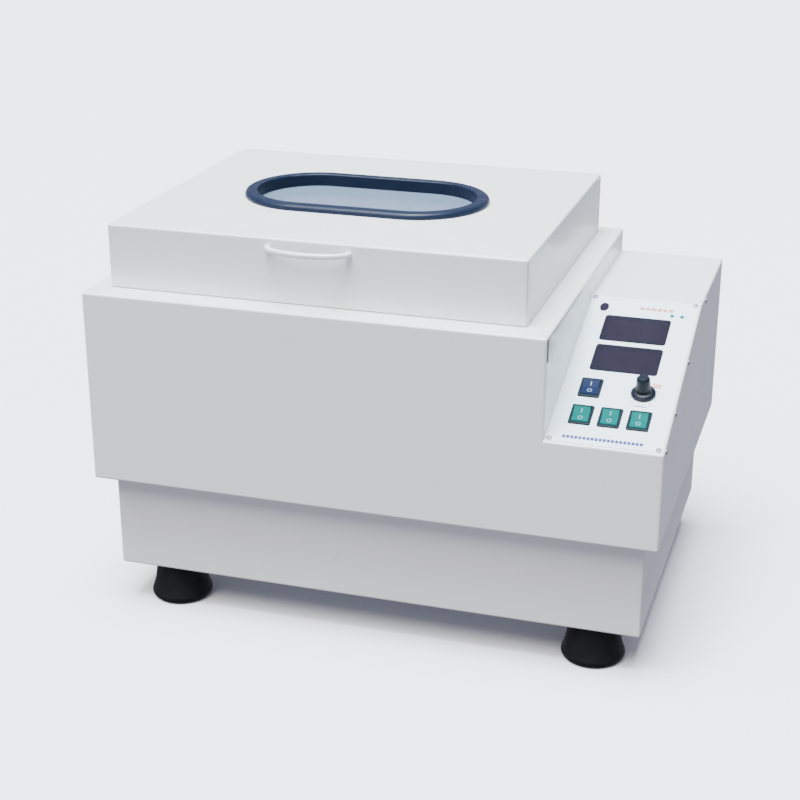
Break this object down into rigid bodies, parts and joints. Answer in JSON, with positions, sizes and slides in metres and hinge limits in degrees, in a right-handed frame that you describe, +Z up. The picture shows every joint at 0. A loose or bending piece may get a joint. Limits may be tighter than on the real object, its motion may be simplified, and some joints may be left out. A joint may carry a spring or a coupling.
{
  "type": "shaking water bath",
  "caption": "Bench-top shaking water bath: hinged lid with an oval window, stainless tank with an orbiting spring rack, sloping control panel and rubber feet.",
  "frame": {"origin": "middle of the overall footprint, on the bench under the feet", "axes": "+X to the right along the front (towards the control box), +Y towards the back, +Z up"},
  "size_m": [0.7016, 0.53, 0.5015],
  "materials": {
    "casing_paint": "satin white enamel",
    "base_paint": "satin white enamel",
    "stainless": "brushed",
    "zinc_steel": "zinc plated",
    "foot_rubber": "matt",
    "window_rubber": "satin",
    "seal_rubber": "matt",
    "window_glass": "polished",
    "handle_plastic": "satin",
    "overlay_film": "satin film",
    "display_lens": "tinted gloss",
    "switch_black": "gloss",
    "rocker_black": "gloss",
    "rocker_green": "translucent gloss",
    "knob_black": "satin",
    "led_green": "translucent",
    "insulation_wool": "matt wool board",
    "board_green": "coated",
    "module_black": "matt",
    "motor_paint": "painted",
    "iron_core": "varnished",
    "pulley_aluminium": "turned",
    "belt_rubber": "matt",
    "brass": "nickel-free brass",
    "lever_red": "dipped vinyl"
  },
  "bodies": {
    "cabinet": {"front_panel": "casing_paint", "left_panel": "casing_paint", "right_panel": "casing_paint", "rear_panel": "casing_paint", "top_deck": "casing_paint", "partition_wall": "casing_paint", "control_cover": "casing_paint", "case_ledge": "casing_paint", "base_shell": "base_paint", "base_plate": "zinc_steel", "foot_bolts": "zinc_steel", "casing_screws": "zinc_steel", "hinge_pins": "zinc_steel", "motor_bracket": "zinc_steel", "ball_bearings": "zinc_steel", "rubber_feet": "foot_rubber", "tank": "stainless", "tank_post_tubes": "stainless", "heater_element": "stainless", "temperature_probe": "stainless", "hinge_deck_leaves": "stainless", "panel_overlay": "overlay_film", "display_windows": "display_lens", "display_modules": "module_black", "mains_inlet": "module_black", "potentiometer": "module_black", "switch_housings": "switch_black", "indicator_leds": "led_green", "tank_insulation": "insulation_wool", "control_board": "board_green", "motor": "motor_paint", "transformer": "iron_core", "bearing_housings": "iron_core", "drive_belt": "belt_rubber", "drain_valve": "brass"},
    "lid": {"lid_shell": "casing_paint", "lid_liner": "stainless", "window_gasket": "window_rubber", "window_pane": "window_glass", "lid_handle": "handle_plastic", "lid_screws": "zinc_steel", "lid_seal": "seal_rubber", "hinge_lid_leaves": "stainless"},
    "crank": {"drive_crank": "pulley_aluminium", "driven_pulley": "pulley_aluminium"},
    "carriage": {"carriage_plate": "stainless", "platform_posts": "stainless", "platform_hangers": "stainless", "flask_platform": "stainless", "spring_rack": "stainless", "rack_springs": "zinc_steel"},
    "power_rocker": {"power_rocker": "rocker_black"},
    "heater_rocker": {"heater_rocker": "rocker_green"},
    "shaker_rocker": {"shaker_rocker": "rocker_green"},
    "lamp_rocker": {"lamp_rocker": "rocker_green"},
    "speed_knob": {"speed_knob": "knob_black"},
    "drain_lever": {"drain_lever": "lever_red"},
    "motor_rotor": {"motor_pulley": "pulley_aluminium"},
    "idler_left": {"idler_crank_left": "pulley_aluminium"},
    "idler_right": {"idler_crank_right": "pulley_aluminium"}
  },
  "joints": [
    {"name": "lid_hinge", "type": "hinge", "parent": "cabinet", "child": "lid", "pos_m": [-0.0713, 0.1926, 0.4206], "axis": [-1, 0, 0], "range_deg": [0, 100]},
    {"name": "crank_spin", "type": "hinge", "parent": "cabinet", "child": "crank", "pos_m": [-0.0713, 0.057, 0.1], "axis": [0, 0, 1], "continuous": true},
    {"name": "carriage_orbit", "type": "hinge", "parent": "crank", "child": "carriage", "pos_m": [-0.0613, 0.057, 0.15], "axis": [0, 0, 1], "continuous": true},
    {"name": "idler_left_spin", "type": "hinge", "parent": "cabinet", "child": "idler_left", "pos_m": [-0.2113, -0.103, 0.1], "axis": [0, 0, 1], "continuous": true},
    {"name": "idler_right_spin", "type": "hinge", "parent": "cabinet", "child": "idler_right", "pos_m": [0.0687, -0.103, 0.1], "axis": [0, 0, 1], "continuous": true},
    {"name": "motor_spin", "type": "hinge", "parent": "cabinet", "child": "motor_rotor", "pos_m": [0.2612, 0.057, 0.1], "axis": [0, 0, 1], "continuous": true},
    {"name": "power_rocker_tilt", "type": "hinge", "parent": "cabinet", "child": "power_rocker", "pos_m": [0.2477, -0.16912, 0.3232], "axis": [-1, 0, 0], "range_deg": [0, 16]},
    {"name": "heater_rocker_tilt", "type": "hinge", "parent": "cabinet", "child": "heater_rocker", "pos_m": [0.2467, -0.21547, 0.30728], "axis": [-1, 0, 0], "range_deg": [0, 16]},
    {"name": "shaker_rocker_tilt", "type": "hinge", "parent": "cabinet", "child": "shaker_rocker", "pos_m": [0.2797, -0.21547, 0.30728], "axis": [-1, 0, 0], "range_deg": [0, 16]},
    {"name": "lamp_rocker_tilt", "type": "hinge", "parent": "cabinet", "child": "lamp_rocker", "pos_m": [0.3127, -0.21547, 0.30728], "axis": [-1, 0, 0], "range_deg": [0, 16]},
    {"name": "speed_knob_turn", "type": "hinge", "parent": "cabinet", "child": "speed_knob", "pos_m": [0.3092, -0.17137, 0.32665], "axis": [0, 0.3248, -0.9458], "range_deg": [0, 300]},
    {"name": "drain_lever_turn", "type": "hinge", "parent": "cabinet", "child": "drain_lever", "pos_m": [-0.0713, 0.228, 0.262], "axis": [0, 0, -1], "range_deg": [0, 90]}
  ],
  "couplings": [
    {"joint": "carriage_orbit", "follows": "crank_spin", "ratio": -1},
    {"joint": "idler_left_spin", "follows": "crank_spin", "ratio": 1},
    {"joint": "idler_right_spin", "follows": "crank_spin", "ratio": 1},
    {"joint": "motor_spin", "follows": "crank_spin", "ratio": 3.2699}
  ]
}
